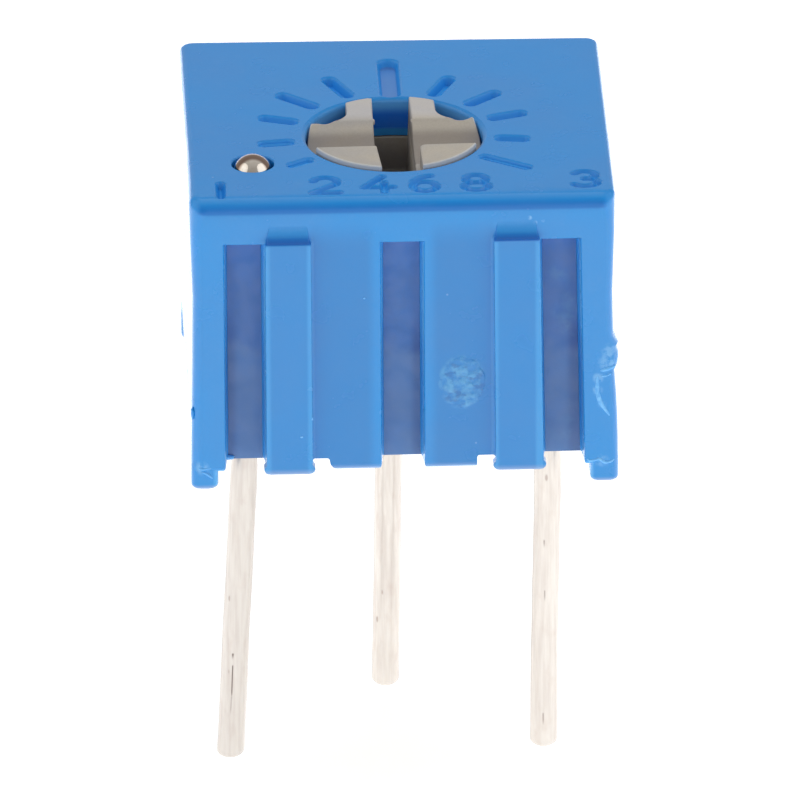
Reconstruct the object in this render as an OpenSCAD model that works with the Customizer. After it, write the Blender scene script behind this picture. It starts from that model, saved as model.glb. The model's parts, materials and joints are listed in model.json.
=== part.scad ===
// Single-turn trimmer potentiometer, square body, top adjust, staggered leads.
// Origin: centre of the body, on the seating plane under its feet. +Y is the back, +Z is up.
// The rotor turns about a vertical axis. Its hole lies a little in front of the body's centre.

/* [Housing] */
// Width of the housing from left to right
body_w = 6.99; // [6.7:0.01:7.6]
// Depth of the housing from front to back, without the ribs
body_d = 6.6; // [6.5:0.01:7.4]
// Height of the housing above its feet
body_h = 4.88; // [4.7:0.01:5.6]
// Radius of the housing's upright corners
corner_r = 0.2; // [0.05:0.01:0.3]
// Thickness of the side and back walls around the potting
wall_t = 0.5; // [0.35:0.01:0.6]
// Thickness of the front wall, which carries the recesses
front_wall_t = 0.58; // [0.54:0.01:0.62]
// Thickness of the roof that the rotor's head passes through
roof_t = 0.68; // [0.5:0.01:0.8]

/* [Feet] */
// Height of the corner feet that hold the body off the board
foot_h = 0.33; // [0.2:0.01:0.5]
// Width of a foot from left to right
foot_w = 0.45; // [0.3:0.01:0.5]
// Length of a foot from front to back
foot_l = 0.6; // [0.4:0.01:0.9]

/* [Front wall] */
// Depth of the three upright recesses
recess_d = 0.48; // [0.2:0.01:0.5]
// Width of the corner posts outside the recesses
post_w = 0.55; // [0.45:0.01:0.7]
// Width of the two outer recesses
recess_w = 0.67; // [0.4:0.01:0.75]
// Width of the middle recess
mid_recess_w = 0.71; // [0.4:0.01:0.9]
// Distance from the housing's top down to the heads of the recesses and ribs
recess_drop = 0.79; // [0.6:0.01:1.2]
// Width of a rib, which stands beside each outer recess
rib_w = 0.77; // [0.5:0.01:0.85]
// How far a rib stands out from the front
rib_out = 0.15; // [0.05:0.01:0.3]
// Width of the notch in the bottom edge beside each rib
notch_w = 0.28; // [0.15:0.01:0.35]
// Height of that notch
notch_h = 0.16; // [0.08:0.01:0.25]

/* [Dial] */
// Diameter of the hole for the rotor's head
hole_d = 2.956; // [2.8:0.01:3.1]
// Place of the hole's axis from left to right
hole_x = -0.03; // [-0.1:0.01:0.1]
// Distance from the front face to the hole's axis
hole_front = 2.63; // [2.6:0.01:2.8]
// Depth of the marks sunk in the top
tick_depth = 0.16; // [0.05:0.01:0.25]
// Width of a short mark
tick_w = 0.2; // [0.1:0.01:0.3]
// Gap between the hole and the inner end of a short mark
tick_gap = 0.28; // [0.15:0.01:0.4]
// Width of the index mark at mid travel
index_w = 0.36; // [0.2:0.01:0.5]
// Length of the index mark from the hole's edge
index_len = 1.6; // [0.8:0.01:1.8]

/* [Rotor] */
// Radial clearance between the rotor's head and its hole
hub_gap = 0.03; // [0.015:0.005:0.06]
// How far the rotor's head stands above the housing's top
hub_proud = 0.05; // [-0.05:0.01:0.12]
// Turn of the rotor from its mid travel, as it was left
rest_turn = 1.3; // [-1.5:0.1:1.5]
// Width of the screwdriver slot
slot_w = 0.64; // [0.5:0.01:0.75]
// Depth of the screwdriver slot
slot_depth = 1.35; // [1:0.01:1.45]
// Distance from the axis to the front edge of the cross valley
valley_front = 0.55; // [0.35:0.01:0.7]
// Depth of the cross valley
valley_depth = 0.36; // [0.2:0.01:0.5]
// Distance from the axis forward to the valley's lowest line
valley_low = 0.35; // [0.2:0.01:0.5]
// Radius of the cross valley's curved floor
valley_r = 1.2; // [1:0.05:1.5]
// Half width of the arrow's shaft, measured from the axis
arm_half = 0.74; // [0.6:0.01:0.85]
// Corner radius of the pocket on each side of the shaft
pocket_r = 0.4; // [0.3:0.01:0.45]
// Distance from the axis to the pockets' front edge
pocket_y = 0.47; // [0.4:0.01:0.6]
// Depth of the pockets
pocket_depth = 0.35; // [0.2:0.01:0.5]
// Radius of the round chamber that the rotor's flange turns in
chamber_r = 1.9; // [1.8:0.01:1.95]
// Radial clearance between the flange and the chamber
flange_gap = 0.05; // [0.02:0.01:0.08]
// Plastic left under the slot down to the sealing ring's groove
slot_floor_t = 0.16; // [0.1:0.01:0.3]
// Thickness of the flange under the sealing ring
flange_t = 0.22; // [0.15:0.01:0.35]
// Height of the stop lug under the flange
lug_h = 0.3; // [0.2:0.01:0.4]
// How far the lug stands out from the rotor's core
lug_out = 0.35; // [0.2:0.01:0.45]
// Angle that the rotor's stop lug takes up
lug_angle = 40; // [30:1:44]
// Angle that the housing's stop takes up
stop_angle = 46; // [36:1:48]

/* [Sealing ring] */
// Thickness of the sealing ring
ring_d = 0.43; // [0.35:0.01:0.5]
// Clearance of the ring from its groove and from the chamber
ring_gap = 0.01; // [0.005:0.005:0.02]

/* [Wiper] */
// Thickness of the wiper's spring sheet
wiper_t = 0.1; // [0.06:0.01:0.14]
// Drop from the rotor to the wiper's contact points
wiper_drop = 0.31; // [0.26:0.01:0.4]
// Radius of the wiper's centre disc
wiper_disc_r = 1; // [0.8:0.01:1.2]
// Width of the wiper's arm
wiper_arm_w = 0.5; // [0.3:0.01:0.7]

/* [Element] */
// Thickness of the ceramic plate
plate_t = 0.64; // [0.5:0.01:0.8]
// Gap between the ceramic plate and the walls
plate_gap = 0.03; // [0.01:0.01:0.05]
// Thickness of the printed films
film_t = 0.02; // [0.01:0.005:0.04]
// Radius of the resistive track's centre line
track_r = 1.55; // [1.5:0.01:1.65]
// Width of the resistive track
track_w = 0.4; // [0.3:0.01:0.5]
// Angle that the resistive track covers
track_angle = 270; // [250:1:280]
// Rim of film round the head of a lead
pad_rim = 0.04; // [0.03:0.01:0.06]
// Radius of the collector film at the axis
collector_r = 0.5; // [0.4:0.01:0.6]

/* [Leads] */
// Diameter of the round leads
lead_d = 0.46; // [0.4:0.01:0.5]
// Distance from each side of the housing to its outer lead
lead_side = 0.965; // [0.9:0.005:1.1]
// Shift of the row of leads to the left
lead_shift = 0.083; // [0.05:0.001:0.1]
// Shift of the middle lead from the housing's middle
mid_lead_x = -0.1; // [-0.15:0.01:0]
// Distance from the front face to the front row of leads
lead_front = 0.96; // [0.93:0.01:1.02]
// Distance from the front row back to the middle lead
lead_stagger = 2.54; // [2.5:0.01:2.6]
// Length of the first lead below the seating plane
len_1 = 5.34; // [3:0.01:6]
// Length of the middle lead below the seating plane
len_2 = 5.28; // [3:0.01:6]
// Length of the third lead below the seating plane
len_3 = 5.25; // [3:0.01:6]
// Lean of the first lead to the left
lean_1 = 3; // [0:0.1:4]
// Lean of the middle lead to the left
lean_2 = 1; // [0:0.1:4]
// Lean of the third lead to the left
lean_3 = 0.95; // [0:0.05:2]
// Bevel at a lead's tip
tip_bevel = 0.08; // [0.04:0.01:0.15]
// How much thinner a lead's radius is above the seating plane
shank_step = 0.02; // [0.01:0.005:0.04]

/* [Solder and potting] */
// Radius of a solder joint under the ceramic plate
solder_r = 0.36; // [0.3:0.01:0.38]
// Height of a solder joint
solder_h = 0.35; // [0.2:0.01:0.5]
// Distance from the housing's bottom edge up to the potting
potting_inset = 0.12; // [0.05:0.01:0.3]

/* [Vent] */
// Diameter of the vent hole in the roof
vent_d = 0.7; // [0.6:0.01:0.8]
// Distance from the housing's left side to the vent's axis
vent_side = 1.075; // [0.95:0.005:1.1]
// Distance from the front face to the vent's axis
vent_front = 1.55; // [1.5:0.01:1.7]
// Height of the ball's top above the housing's top
vent_proud = 0.15; // [-0.1:0.01:0.2]

/* [Hidden] */
$fn = 64;

fit = 0.01;            // clearance between pieces that are glued or soldered
over = 0.1;            // how far a cut runs past the surface it opens
bond = 0.06;           // how far joined shapes of one piece reach into each other

top_z = foot_h + body_h;
roof_z = top_z - roof_t;
front_y = -body_d / 2;
wall_y = front_y + front_wall_t;
recess_z = top_z - recess_drop;
hole_y = front_y + hole_front;
vent_x = -body_w / 2 + vent_side;
vent_y = front_y + vent_front;
recess_x = body_w / 2 - post_w - recess_w / 2;
rib_x = recess_x - recess_w / 2 - rib_w / 2;
notch_x = rib_x - rib_w / 2 - notch_w;

// Rotor levels, from the head down
hub_r = hole_d / 2 - hub_gap;
hub_z = top_z + hub_proud;
lift_gap = 0.02;
flange_z = roof_z - lift_gap;
flange_r = chamber_r - flange_gap;
groove_z = hub_z - slot_depth - slot_floor_t;
groove_h = ring_d + 4 * ring_gap;
groove_r = chamber_r - ring_d - 2 * ring_gap;
lug_z = groove_z - groove_h - flange_t;
rotor_z = lug_z - lug_h;
core_r = flange_r - lug_out;
stop_r = core_r + flange_gap;

// Element levels, from the wiper down
film_z = rotor_z - wiper_drop - fit;
plate_z = film_z - film_t;
plate_low = plate_z - plate_t;
potting_z = foot_h + potting_inset;
pad_r = lead_d / 2 + pad_rim;
neck = lead_d / 2;

// Marks on each side of the index: angle from it, and reach of each outer end past the hole
mark_angles = [24, 47.5, 70.5, 97.5, 124];
left_reach = [1.1, 1.06, 0.87, 0.8, 0.69];
right_reach = [1.05, 0.97, 0.88, 0.77, 1.18];

// Leads: place where each one's axis meets the seating plane, its lean and its length
shank_r = lead_d / 2 - shank_step;
row_x = body_w / 2 - lead_side;
row_y = front_y + lead_front;
lead_1_at = [-row_x - lead_shift, row_y, lean_1, len_1];
lead_2_at = [mid_lead_x, row_y + lead_stagger, lean_2, len_2];
lead_3_at = [row_x - lead_shift, row_y, lean_3, len_3];

// Rectangle with round corners, centred
module rounded_plan(w, d, r) {
    square([w - 2 * r, d], center = true);
    square([w, d - 2 * r], center = true);
    for (x = [-1, 1], y = [-1, 1])
        translate([x * (w / 2 - r), y * (d / 2 - r)]) circle(r);
}

// Places children on the rotor's axis
module on_axis() {
    translate([hole_x, hole_y, 0]) children();
}

// Ring sector about the axis, centred on the direction at
module sector(r_in, r_out, h, angle, at) {
    rotate(at - angle / 2)
        rotate_extrude(angle = angle) translate([r_in, 0]) square([r_out - r_in, h]);
}

// One straight mark sunk in the top, running out from the hole
module mark(angle, from, to, w) {
    rotate(angle)
        translate([-w / 2, from, top_z - tick_depth]) cube([w, to - from, tick_depth + over]);
}

module marks() {
    hole_r = hole_d / 2;
    on_axis() {
        mark(0, hole_r - over, hole_r + index_len, index_w);
        for (i = [0 : len(mark_angles) - 1]) {
            mark(mark_angles[i], hole_r + tick_gap, hole_r + left_reach[i], tick_w);
            mark(-mark_angles[i], hole_r + tick_gap, hole_r + right_reach[i], tick_w);
        }
    }
}

// Rib on the front, with a bevelled head
module rib(x) {
    translate([x - rib_w / 2, front_y, foot_h])
        rotate([90, 0, 90])
            linear_extrude(rib_w)
                polygon([[bond, 0], [-rib_out, 0], [-rib_out, recess_z - foot_h],
                         [0, recess_z - foot_h + rib_out], [bond, recess_z - foot_h + rib_out]]);
}

// Foot at each corner, flush with the walls outside and clear of the inside
module feet() {
    intersection() {
        linear_extrude(foot_h + bond) rounded_plan(body_w, body_d, corner_r);
        for (x = [-1, 1], y = [-1, 1])
            translate([x * (body_w - foot_w) / 2 - foot_w / 2, y * (body_d - foot_l) / 2 - foot_l / 2, 0])
                cube([foot_w, foot_l, foot_h + bond]);
    }
}

module recess(x, w) {
    translate([x - w / 2, front_y - over, foot_h - over])
        cube([w, recess_d + over, recess_z - foot_h + over]);
}

module housing() {
    color("cornflowerblue") {
        difference() {
            union() {
                translate([0, 0, foot_h]) linear_extrude(body_h) rounded_plan(body_w, body_d, corner_r);
                rib(-rib_x);
                rib(rib_x);
                feet();
            }
            // Room for the ceramic plate and the potting, open at the bottom
            translate([-body_w / 2 + wall_t, wall_y, foot_h - over])
                cube([body_w - 2 * wall_t, body_d - front_wall_t - wall_t, rotor_z - foot_h + over]);
            translate([-body_w / 2 + wall_t, wall_y, -over])
                cube([body_w - 2 * wall_t, body_d - front_wall_t - wall_t, foot_h + over]);
            on_axis() {
                translate([0, 0, rotor_z - over]) cylinder(h = roof_z - rotor_z + over, r = chamber_r);
                translate([0, 0, rotor_z]) cylinder(h = top_z - rotor_z + over, d = hole_d);
            }
            recess(-recess_x, recess_w);
            recess(0, mid_recess_w);
            recess(recess_x, recess_w);
            for (x = [-notch_x - notch_w, notch_x])
                translate([x, front_y - over, foot_h - over])
                    cube([notch_w, front_wall_t + 2 * over, notch_h + over]);
            marks();
            translate([vent_x, vent_y, rotor_z - over])
                cylinder(h = top_z - rotor_z + 2 * over, d = vent_d);
        }
        // Stop that the rotor's lug meets at both ends of its travel
        on_axis() translate([0, 0, rotor_z])
            sector(stop_r, chamber_r + bond, lug_h - lift_gap, stop_angle, -90);
    }
}

// Cross valley behind the front half of the head: upright in front, curving up to the back
module valley() {
    intersection() {
        translate([-2 * hub_r, -valley_low, hub_z + valley_r - valley_depth])
            rotate([0, 90, 0]) cylinder(h = 4 * hub_r, r = valley_r);
        translate([-2 * hub_r, -valley_front, hub_z - valley_depth - over])
            cube([4 * hub_r, valley_front + valley_r, valley_depth + 2 * over]);
    }
}

// Pocket beside the arrow's shaft, open to the edge of the head
module pocket(side) {
    x = arm_half + pocket_r;
    translate([0, 0, hub_z - pocket_depth]) {
        translate([side * x, pocket_y + pocket_r, 0]) cylinder(h = pocket_depth + over, r = pocket_r);
        translate([side > 0 ? arm_half : -arm_half - hub_r, pocket_y + pocket_r, 0])
            cube([hub_r, hub_r, pocket_depth + over]);
    }
}

module rotor() {
    color("tan") on_axis() rotate(rest_turn) difference() {
        union() {
            translate([0, 0, groove_z]) cylinder(h = hub_z - groove_z, r = hub_r);
            translate([0, 0, groove_z]) cylinder(h = flange_z - groove_z, r = flange_r);
            translate([0, 0, lug_z]) cylinder(h = groove_z - lug_z + bond, r = groove_r);
            translate([0, 0, lug_z]) cylinder(h = flange_t, r = flange_r);
            translate([0, 0, rotor_z]) cylinder(h = lug_h + bond, r = core_r);
            translate([0, 0, rotor_z]) sector(core_r - bond, flange_r, lug_h + bond, lug_angle, 90);
        }
        translate([-slot_w / 2, -hub_r, hub_z - slot_depth])
            cube([slot_w, 2 * hub_r, slot_depth + over]);
        valley();
        pocket(-1);
        pocket(1);
    }
}

module o_ring() {
    color("dimgray") on_axis()
        translate([0, 0, groove_z - groove_h / 2])
            rotate_extrude() translate([groove_r + ring_gap + ring_d / 2, 0]) circle(d = ring_d);
}

// Spring contact: disc and arm against the rotor, with a foot on the track and one on the collector
module wiper() {
    low = rotor_z - wiper_drop;
    foot_r = (wiper_drop - wiper_t) / 2 + fit;
    color("gold") on_axis() rotate(rest_turn) {
        translate([0, 0, rotor_z - wiper_t]) cylinder(h = wiper_t, r = wiper_disc_r);
        translate([-wiper_arm_w / 2, 0, rotor_z - wiper_t])
            cube([wiper_arm_w, track_r + foot_r, wiper_t]);
        translate([-wiper_arm_w / 2, track_r, low + foot_r])
            rotate([0, 90, 0]) cylinder(h = wiper_arm_w, r = foot_r);
        translate([0, 0, low]) cylinder(h = wiper_drop - wiper_t / 2, r = foot_r * 2);
    }
}

// Upright room for a lead's shank, wider by the gap
module shank_room(at, gap) {
    translate([at[0], at[1], 0]) cylinder(h = top_z, r = shank_r + gap);
}

// Round wire: an upright shank in the potting, bent at the seating plane into a leaning leg
module lead(at) {
    leg_r = lead_d / 2;
    color("gainsboro") translate([at[0], at[1], 0]) {
        rotate([0, at[2], 0]) rotate_extrude()
            polygon([[0, -at[3]], [leg_r - tip_bevel, -at[3]], [leg_r, -at[3] + tip_bevel],
                     [leg_r, 0], [0, 0]]);
        translate([0, 0, -bond]) cylinder(h = plate_z - fit + bond, r = shank_r);
    }
}

// Cone of solder between a lead and the underside of the ceramic plate
module solder_cone(at) {
    translate([at[0], at[1], plate_low - solder_h])
        cylinder(h = solder_h, r1 = shank_r + 2 * fit, r2 = solder_r);
}

module solder(at) {
    color("silver") difference() {
        solder_cone(at);
        shank_room(at, 0);
    }
}

module ceramic_plate() {
    gap = plate_gap;
    color("white") difference() {
        translate([-body_w / 2 + wall_t + gap, wall_y + gap, plate_low])
            cube([body_w - 2 * (wall_t + gap), body_d - front_wall_t - wall_t - 2 * gap, plate_t]);
        for (at = [lead_1_at, lead_2_at, lead_3_at]) shank_room(at, fit);
    }
}

module resistive_track() {
    color("dimgray") on_axis() translate([0, 0, plate_z])
        sector(track_r - track_w / 2, track_r + track_w / 2, film_t, track_angle, 90);
}

function reversed(points) = [for (i = [len(points) - 1 : -1 : 0]) points[i]];

// Film from one end of the track to the pad over a lead. Side -1 is the left one.
module end_pad(side, at) {
    end = track_angle / 2;
    edge = [side * sin(end), cos(end)];
    beyond = [side * cos(end), -sin(end)];
    inner = [hole_x, hole_y] + (track_r - track_w / 2) * edge;
    outer = [hole_x, hole_y] + (track_r + track_w / 2) * edge;
    x = at[0];
    outline = [outer, inner, inner + 2 * neck * beyond, [x, at[1] - neck],
               [x + side * neck / 2, at[1]], [x, at[1] + neck]];
    color("silver") translate([0, 0, plate_z]) linear_extrude(film_t) {
        translate([x, at[1]]) circle(pad_r);
        polygon(side > 0 ? outline : reversed(outline));
    }
}

module collector() {
    x = lead_2_at[0];
    color("silver") translate([0, 0, plate_z]) linear_extrude(film_t) {
        translate([hole_x, hole_y]) circle(collector_r);
        translate([x, lead_2_at[1]]) circle(pad_r);
        polygon([[hole_x - neck, hole_y], [hole_x + neck, hole_y],
                 [x + neck, lead_2_at[1]], [x - neck, lead_2_at[1]]]);
    }
}

module potting() {
    color("darkkhaki") difference() {
        translate([-body_w / 2 + wall_t + fit, wall_y + fit, potting_z])
            cube([body_w - 2 * (wall_t + fit), body_d - front_wall_t - wall_t - 2 * fit,
                  plate_low - potting_z]);
        for (at = [lead_1_at, lead_2_at, lead_3_at]) {
            shank_room(at, fit);
            solder_cone(at);
        }
    }
}

module vent_ball() {
    r = vent_d / 2 - fit;
    color("lightgray") translate([vent_x, vent_y, top_z + vent_proud - r]) sphere(r);
}

housing();
rotor();
o_ring();
wiper();
ceramic_plate();
resistive_track();
collector();
end_pad(-1, lead_1_at);  // end_pad_1
end_pad(1, lead_3_at);  // end_pad_3
lead(lead_1_at);  // lead_1
lead(lead_2_at);  // lead_2
lead(lead_3_at);  // lead_3
solder(lead_1_at);  // solder_1
solder(lead_2_at);  // solder_2
solder(lead_3_at);  // solder_3
potting();
vent_ball();
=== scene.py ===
"""Looks of a single-turn trimmer potentiometer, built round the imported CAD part.

Meshes are shaped in millimetres in the row frame and scaled to metres when they are done.
"""

import json
from contextlib import contextmanager
from math import atan2, cos, exp, hypot, pi, radians, sin, sqrt

import bmesh
import bpy
from mathutils import Matrix, Vector, noise


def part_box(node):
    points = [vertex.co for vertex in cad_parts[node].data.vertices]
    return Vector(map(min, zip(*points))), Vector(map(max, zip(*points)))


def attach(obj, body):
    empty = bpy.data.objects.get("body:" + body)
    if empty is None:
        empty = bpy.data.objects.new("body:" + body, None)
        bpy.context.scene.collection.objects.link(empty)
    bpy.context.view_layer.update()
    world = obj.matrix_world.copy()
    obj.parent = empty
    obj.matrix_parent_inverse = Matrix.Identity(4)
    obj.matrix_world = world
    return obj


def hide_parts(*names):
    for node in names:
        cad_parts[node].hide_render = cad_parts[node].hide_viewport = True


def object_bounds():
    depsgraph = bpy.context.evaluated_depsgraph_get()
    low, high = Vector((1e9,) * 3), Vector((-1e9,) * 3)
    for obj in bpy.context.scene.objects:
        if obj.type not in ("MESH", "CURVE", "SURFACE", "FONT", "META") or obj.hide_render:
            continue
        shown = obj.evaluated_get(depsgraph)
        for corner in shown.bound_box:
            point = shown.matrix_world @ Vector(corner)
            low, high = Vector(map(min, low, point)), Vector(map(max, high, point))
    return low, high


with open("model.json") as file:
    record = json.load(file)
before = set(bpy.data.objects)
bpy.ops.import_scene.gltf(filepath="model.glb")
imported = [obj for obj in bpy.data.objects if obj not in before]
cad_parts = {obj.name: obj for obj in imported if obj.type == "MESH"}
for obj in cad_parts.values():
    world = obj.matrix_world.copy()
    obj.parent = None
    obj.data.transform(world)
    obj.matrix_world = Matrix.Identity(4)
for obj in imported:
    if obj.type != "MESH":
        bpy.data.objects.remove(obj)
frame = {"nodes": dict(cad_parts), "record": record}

# noise_vector takes its offsets from this seed, and from the clock without it
noise.seed_set(1)

cad_low, cad_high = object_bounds()
MM = 0.001


# ---- places, in mm
def box_mm(node):
    """Lowest and highest corner of a CAD node, in mm."""
    low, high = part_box(node)
    return low / MM, high / MM


def mount_mm(name):
    """Place in mm and direction of one of the record's mounts."""
    found = next(m for m in frame["record"]["mounts"] if m["name"] == name)
    return Vector(found["pos_m"]) / MM, Vector(found["axis"])


HOUSE_LOW, HOUSE_HIGH = box_mm("housing")
ROTOR_LOW, ROTOR_HIGH = box_mm("rotor")
POT_LOW, POT_HIGH = box_mm("potting")
BALL_LOW, BALL_HIGH = box_mm("vent_ball")

RIB_OUT = 0.15
TOP_Z = HOUSE_HIGH.z
HALF_W = HOUSE_HIGH.x
BACK_Y = HOUSE_HIGH.y
FRONT_Y = HOUSE_LOW.y + RIB_OUT
FOOT_H = 0.275
SOLE_Z = -0.04
FRONT_WALL = 0.58
OTHER_WALL = 0.5
ROOF_Z = TOP_Z - 0.68

AXIS_X = (ROTOR_LOW.x + ROTOR_HIGH.x) / 2
AXIS_Y = (ROTOR_LOW.y + ROTOR_HIGH.y) / 2
HUB_Z = ROTOR_HIGH.z
ROTOR_Z = ROTOR_LOW.z
HOLE_R = 1.478
HUB_R = 1.448
REST_TURN = radians(1.3)

BALL_R = (BALL_HIGH.z - BALL_LOW.z) / 2
VENT_X = (BALL_LOW.x + BALL_HIGH.x) / 2
VENT_Y = (BALL_LOW.y + BALL_HIGH.y) / 2
VENT_R = 0.35

RECESS_D = 0.48
RECESS_Z = TOP_Z - 0.79
RECESS_X = 2.61
RECESS_W = 0.67
MID_RECESS_W = 0.71
RIB_X = 1.89
RIB_W = 0.77
GATE_X, GATE_Z = 0.99, 1.86
BRUISE_LOW, BRUISE_HIGH, BRUISE_OUT = 1.98, 2.62, 0.085
LEAD_Y = mount_mm("lead_1")[0].y


# ---- outlines
def clamp(value):
    return min(1, max(0, value))


def read_off(table, at):
    """Value at a place in a table of (place, value), joined up by straight lines."""
    for (start, a), (end, b) in zip(table, table[1:]):
        if at <= end:
            return a + (b - a) * (at - start) / (end - start)
    return table[-1][1]


def quarter(steps, first=0):
    """Steps round a quarter circle of radius 1: how far there is to go, and how far it has climbed."""
    turns = [radians(90 * k / steps) for k in range(first, steps + 1)]
    return [(1 - sin(a), 1 - cos(a)) for a in turns]


def circle(cx, cy, r, n):
    turns = [2 * pi * i / n for i in range(n)]
    return [(cx + r * cos(a), cy + r * sin(a)) for a in turns]


def plan(x0, x1, y0, y1, radii, steps=6):
    """Rectangle rounded front left, front right, back right, back left, as (x, y, outward) points."""
    corners = [(x0, y0, 1, 1, 180), (x1, y0, -1, 1, 270), (x1, y1, -1, -1, 0), (x0, y1, 1, -1, 90)]
    points = []
    for (x, y, sx, sy, start), r in zip(corners, radii):
        for k in range(steps + 1):
            a = radians(start + 90 * k / steps)
            u, v = cos(a), sin(a)
            points.append((x + sx * r + r * u, y + sy * r + r * v, u, v))
    return points


def at_z(points, z):
    return [(p[0], p[1], z) for p in points]


def both_halves(right):
    """Closed outline from its right-hand half."""
    return right + [(-u, v) for u, v in right[::-1]]


# ---- mesh helpers
def new_object(name, data):
    """Object in the scene round a mesh, a lamp or a camera."""
    obj = bpy.data.objects.new(name, data)
    bpy.context.scene.collection.objects.link(obj)
    return obj


@contextmanager
def editing(mesh):
    """Opens a mesh for editing and writes it back."""
    bm = bmesh.new()
    bm.from_mesh(mesh)
    yield bm
    bm.to_mesh(mesh)
    bm.free()


def mesh_object(verts, faces, closed=True):
    mesh = bpy.data.meshes.new("mesh")
    mesh.from_pydata([tuple(v) for v in verts], [], faces)
    if closed:
        with editing(mesh) as bm:
            bmesh.ops.recalc_face_normals(bm, faces=bm.faces)
    return new_object("piece", mesh)


def hoop(a, b, n):
    """Faces between two closed rings of n points, which start at points a and b."""
    return [[a + i, a + (i + 1) % n, b + (i + 1) % n, b + i] for i in range(n)]


def loft(rings):
    """Closed solid through rings of points, each ring anticlockwise seen from the far end."""
    n = len(rings[0])
    last = (len(rings) - 1) * n
    faces = [list(range(n))[::-1]]
    for start in range(0, last, n):
        faces += hoop(start, start + n, n)
    faces.append([last + i for i in range(n)])
    return mesh_object([p for ring in rings for p in ring], faces)


def lathe(profile, segments, centre):
    """Closed solid of revolution. The profile is (radius, z) from the bottom centre to the top centre."""
    verts = [(*centre, profile[0][1])]
    for r, z in profile[1:-1]:
        verts += at_z(circle(*centre, r, segments), z)
    verts.append((*centre, profile[-1][1]))
    last, top = len(verts) - 1, len(verts) - 1 - segments
    faces = []
    for i in range(segments):
        j = (i + 1) % segments
        faces.append([0, 1 + j, 1 + i])
        for a in range(1, top, segments):
            faces.append([a + i, a + j, a + segments + j, a + segments + i])
        faces.append([top + i, top + j, last])
    return mesh_object(verts, faces)


def prism(points, z0, z1):
    return loft([at_z(points, z0), at_z(points, z1)])


def block(x0, x1, y0, y1, z0, z1):
    return prism([(x0, y0), (x1, y0), (x1, y1), (x0, y1)], z0, z1)


def headings(points):
    """Direction along a line at each of its points."""
    last = len(points) - 1
    return [(points[min(k + 1, last)] - points[max(k - 1, 0)]).normalized() for k in range(last + 1)]


def tube(points, radii, segments=10):
    """Closed tapering tube through points, with its own radius at each."""
    rings = []
    for p, along, r in zip(points, headings(points), radii):
        side = along.orthogonal().normalized()
        if side.dot(Vector((0.3, 0.9, 0.2))) < 0:
            side = -side
        up = along.cross(side)
        rings.append([p + side * u + up * v for u, v in circle(0, 0, r, segments)])
    obj = loft(rings)
    shade_smooth(obj)
    return obj


def pebble(detail, radius, shape):
    """Ball of small triangles, with each point moved by shape(point)."""
    mesh = bpy.data.meshes.new("mesh")
    with editing(mesh) as bm:
        bmesh.ops.create_icosphere(bm, subdivisions=detail, radius=radius)
        for v in bm.verts:
            v.co = shape(v.co)
    obj = new_object("piece", mesh)
    shade_smooth(obj)
    return obj


def bake(obj):
    """Puts an object's modifiers into its mesh."""
    bpy.context.view_layer.update()
    graph = bpy.context.evaluated_depsgraph_get()
    made = bpy.data.meshes.new_from_object(obj.evaluated_get(graph))
    obj.modifiers.clear()
    old, obj.data = obj.data, made
    bpy.data.meshes.remove(old)


def combine(target, tool, operation):
    mod = target.modifiers.new("combine", "BOOLEAN")
    mod.operation = operation
    mod.solver = "EXACT"
    mod.object = tool
    bake(target)
    bpy.data.objects.remove(tool)


def cut(target, *tools):
    for tool in tools:
        combine(target, tool, "DIFFERENCE")


def join(target, *tools):
    for tool in tools:
        combine(target, tool, "UNION")


def clean_up(obj, merge=1e-4, flat=0.4):
    """Merges points that coincide and faces that lie in one plane."""
    with editing(obj.data) as bm:
        bmesh.ops.remove_doubles(bm, verts=bm.verts, dist=merge)
        bmesh.ops.dissolve_limit(bm, angle_limit=radians(flat), verts=bm.verts, edges=bm.edges)
        bmesh.ops.recalc_face_normals(bm, faces=bm.faces)


def split_faces(obj):
    """Cuts faces with more than four corners into triangles while they are still flat."""
    with editing(obj.data) as bm:
        many = [f for f in bm.faces if len(f.verts) > 4]
        bmesh.ops.triangulate(bm, faces=many, quad_method="BEAUTY", ngon_method="EAR_CLIP")


def ripple(obj, size, amount, seed):
    """Moves points by a slow seeded noise, so that long edges aren't dead straight."""
    split_faces(obj)
    shift = Vector((seed * 7.3, seed * 3.1, seed * 5.7))
    for v in obj.data.vertices:
        v.co += noise.noise_vector(v.co / size + shift) * amount


def shade_smooth(obj):
    for face in obj.data.polygons:
        face.use_smooth = True


def soften(obj, width):
    """Rounds every sharp edge and shades the rest smooth."""
    mod = obj.modifiers.new("edges", "BEVEL")
    mod.limit_method = "ANGLE"
    mod.angle_limit = radians(28)
    mod.width = width
    mod.segments = 2
    mod.use_clamp_overlap = False
    mod.miter_outer = "MITER_ARC"
    shade_smooth(obj)
    bake(obj)


def shade_flats(obj, angle=40):
    """Smooth shading in which broad flat faces stay flat and edges sharper than the angle stay sharp."""
    shade_smooth(obj)
    obj.data.set_sharp_from_angle(angle=radians(angle))
    mod = obj.modifiers.new("normals", "WEIGHTED_NORMAL")
    mod.mode = "FACE_AREA"
    mod.weight = 90
    mod.keep_sharp = True
    bake(obj)


def finish(obj, name, *materials):
    """Names a piece and its mesh, gives it its materials and scales it to metres."""
    obj.name = name
    obj.data.name = name
    obj.data.materials.clear()
    for material in materials:
        obj.data.materials.append(material)
    obj.data.transform(Matrix.Scale(MM, 4))
    obj.data.update()
    return obj


# ---- materials
def srgb(r, g, b):
    """Linear colour of an 8-bit sRGB one."""

    def linear(v):
        v /= 255
        return v / 12.92 if v <= 0.04045 else ((v + 0.055) / 1.055) ** 2.4

    return (linear(r), linear(g), linear(b), 1)


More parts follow.
